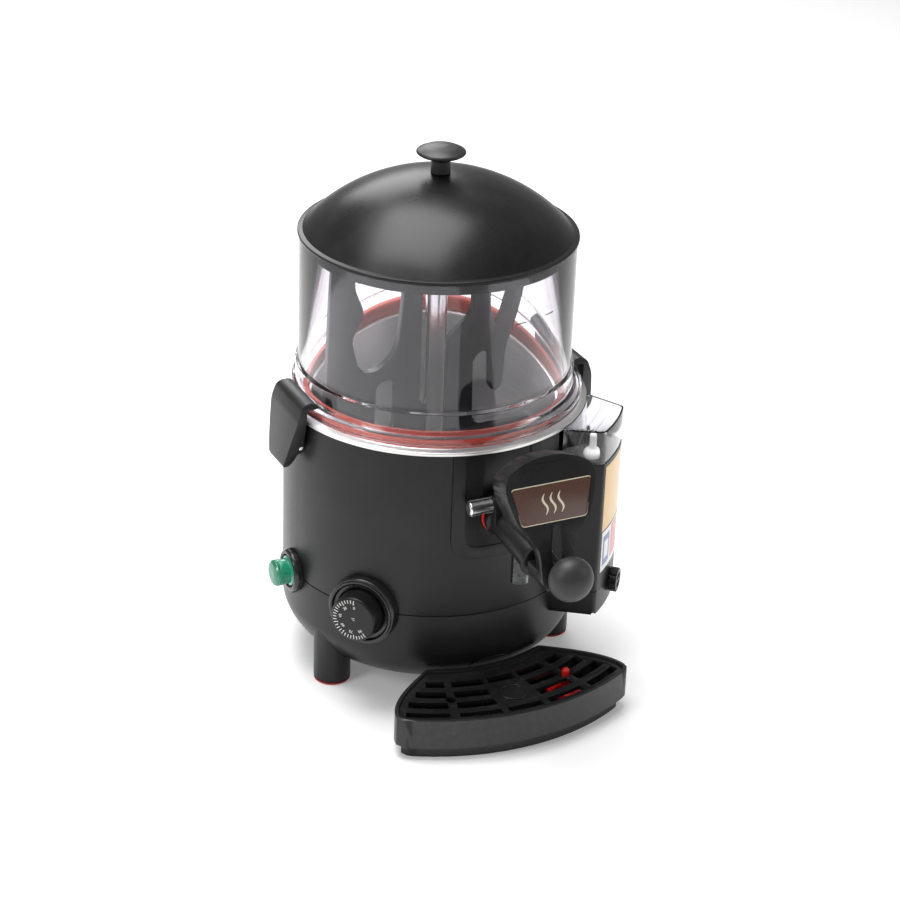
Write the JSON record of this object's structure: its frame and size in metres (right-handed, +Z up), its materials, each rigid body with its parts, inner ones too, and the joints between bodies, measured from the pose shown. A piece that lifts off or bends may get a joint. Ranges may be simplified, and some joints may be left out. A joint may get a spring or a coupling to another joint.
{
  "type": "hot chocolate dispenser",
  "caption": "Countertop hot-drink dispenser: round black heated base, clear cylindrical bowl with domed lid, central stirrer, lift tap with ball knob, side water box and slotted drip tray.",
  "frame": {"origin": "middle of the bottom of the bounding box, on the surface the machine stands on", "axes": "+Z up, -Y towards the tap and drip tray, +X to the right when facing the tap"},
  "size_m": [0.295, 0.4162, 0.463],
  "materials": {
    "black_plastic": "satin moulded",
    "dark_grey_plastic": "satin moulded",
    "clear_plastic": "clear polycarbonate",
    "stainless": "brushed",
    "silicone": "matte silicone",
    "red_plastic": "gloss",
    "white_plastic": "satin",
    "green_lens": "translucent lens",
    "label": "printed label"
  },
  "bodies": {
    "housing": {"base_pan": "black_plastic", "box_skirt": "black_plastic", "foot_front_left": "black_plastic", "foot_front_right": "black_plastic", "foot_rear_right": "black_plastic", "foot_rear_left": "black_plastic", "body_shell": "black_plastic", "front_plate": "black_plastic", "foot_pad_front_left": "red_plastic", "foot_pad_front_right": "red_plastic", "foot_pad_rear_right": "red_plastic", "foot_pad_rear_left": "red_plastic", "tank": "stainless", "water_jacket": "stainless", "heater_element": "stainless", "gasket": "silicone", "bowl": "clear_plastic", "shaft_bushing": "white_plastic", "gearbox": "dark_grey_plastic", "motor": "stainless", "motor_bracket": "stainless", "clamp_lug_left": "black_plastic", "clamp_pin_left": "stainless", "clamp_lug_right": "black_plastic", "clamp_pin_right": "stainless", "thermostat_bezel": "black_plastic", "thermostat_body": "white_plastic", "switch_bezel": "black_plastic", "switch_body": "dark_grey_plastic", "tap_barrel": "black_plastic", "tap_seal": "silicone", "tap_end_cap": "black_plastic", "tap_pin": "stainless", "hood": "black_plastic", "label_plate": "label", "water_box": "black_plastic", "cable_gland": "black_plastic", "base_screw_1": "stainless", "base_screw_2": "stainless", "base_screw_3": "stainless"},
    "lid": {"lid": "black_plastic", "lid_knob": "black_plastic", "lid_screw": "stainless"},
    "stirrer": {"stirrer_frame": "dark_grey_plastic", "stirrer_tube": "stainless", "drive_shaft": "stainless"},
    "clamp_left_lever": {"clamp_left": "black_plastic"},
    "clamp_right_lever": {"clamp_right": "black_plastic"},
    "thermostat_dial": {"thermostat_knob": "black_plastic"},
    "power_button": {"switch_lens": "green_lens"},
    "tap_handle": {"tap_lever": "black_plastic", "lever_knob": "black_plastic"},
    "tap_valve": {"tap_plunger": "white_plastic"},
    "tray": {"drip_tray": "black_plastic"},
    "tray_grid": {"drip_grid": "black_plastic"},
    "tray_indicator": {"tray_float": "red_plastic"},
    "box_lid": {"water_cap": "clear_plastic"},
    "box_float": {"level_float": "white_plastic"},
    "drain": {"drain_cap": "black_plastic"}
  },
  "joints": [
    {"name": "lid_lift", "type": "slide", "parent": "housing", "child": "lid", "axis": [0, 0, 1], "range_m": [0, 0.12]},
    {"name": "stirrer_spin", "type": "hinge", "parent": "housing", "child": "stirrer", "pos_m": [0.002, 0.06415, 0.25], "axis": [0, 0, 1], "continuous": true},
    {"name": "clamp_left_swing", "type": "hinge", "parent": "housing", "child": "clamp_left_lever", "pos_m": [-0.129, 0.06415, 0.219], "axis": [0, -1, 0], "range_deg": [0, 22]},
    {"name": "clamp_right_swing", "type": "hinge", "parent": "housing", "child": "clamp_right_lever", "pos_m": [0.133, 0.06415, 0.219], "axis": [0, 1, 0], "range_deg": [0, 22]},
    {"name": "thermostat_turn", "type": "hinge", "parent": "housing", "child": "thermostat_dial", "pos_m": [-0.10525, -0.02584, 0.092], "axis": [0.766, 0.6428, 0], "range_deg": [0, 270]},
    {"name": "power_press", "type": "slide", "parent": "housing", "child": "power_button", "axis": [1, 0, 0], "range_m": [0, 0.0025], "stiffness_N_per_m": 600},
    {"name": "tap_lift", "type": "hinge", "parent": "housing", "child": "tap_handle", "pos_m": [0.002, -0.07685, 0.2015], "axis": [-1, 0, 0], "range_deg": [0, 16]},
    {"name": "tap_valve_lift", "type": "slide", "parent": "housing", "child": "tap_valve", "axis": [0, 0, 1], "range_m": [0, 0.012]},
    {"name": "tray_pull", "type": "slide", "parent": "housing", "child": "tray", "axis": [0, -1, 0], "range_m": [0, 0.12]},
    {"name": "grid_lift", "type": "slide", "parent": "tray", "child": "tray_grid", "axis": [0, 0, 1], "range_m": [0, 0.03]},
    {"name": "tray_float_rise", "type": "slide", "parent": "tray", "child": "tray_indicator", "axis": [0, 0, 1], "range_m": [0, 0.005]},
    {"name": "box_lid_lift", "type": "slide", "parent": "housing", "child": "box_lid", "axis": [0, 0, 1], "range_m": [0, 0.06]},
    {"name": "level_float_rise", "type": "slide", "parent": "housing", "child": "box_float", "axis": [0, 0, 1], "range_m": [0, 0.008]},
    {"name": "drain_turn", "type": "hinge", "parent": "housing", "child": "drain", "pos_m": [0.12483, -0.04452, 0.087], "axis": [0.749, -0.6626, 0], "range_deg": [0, 360]}
  ],
  "couplings": [
    {"joint": "tap_valve_lift", "follows": "tap_lift", "m_per_rad": 0.0335}
  ]
}
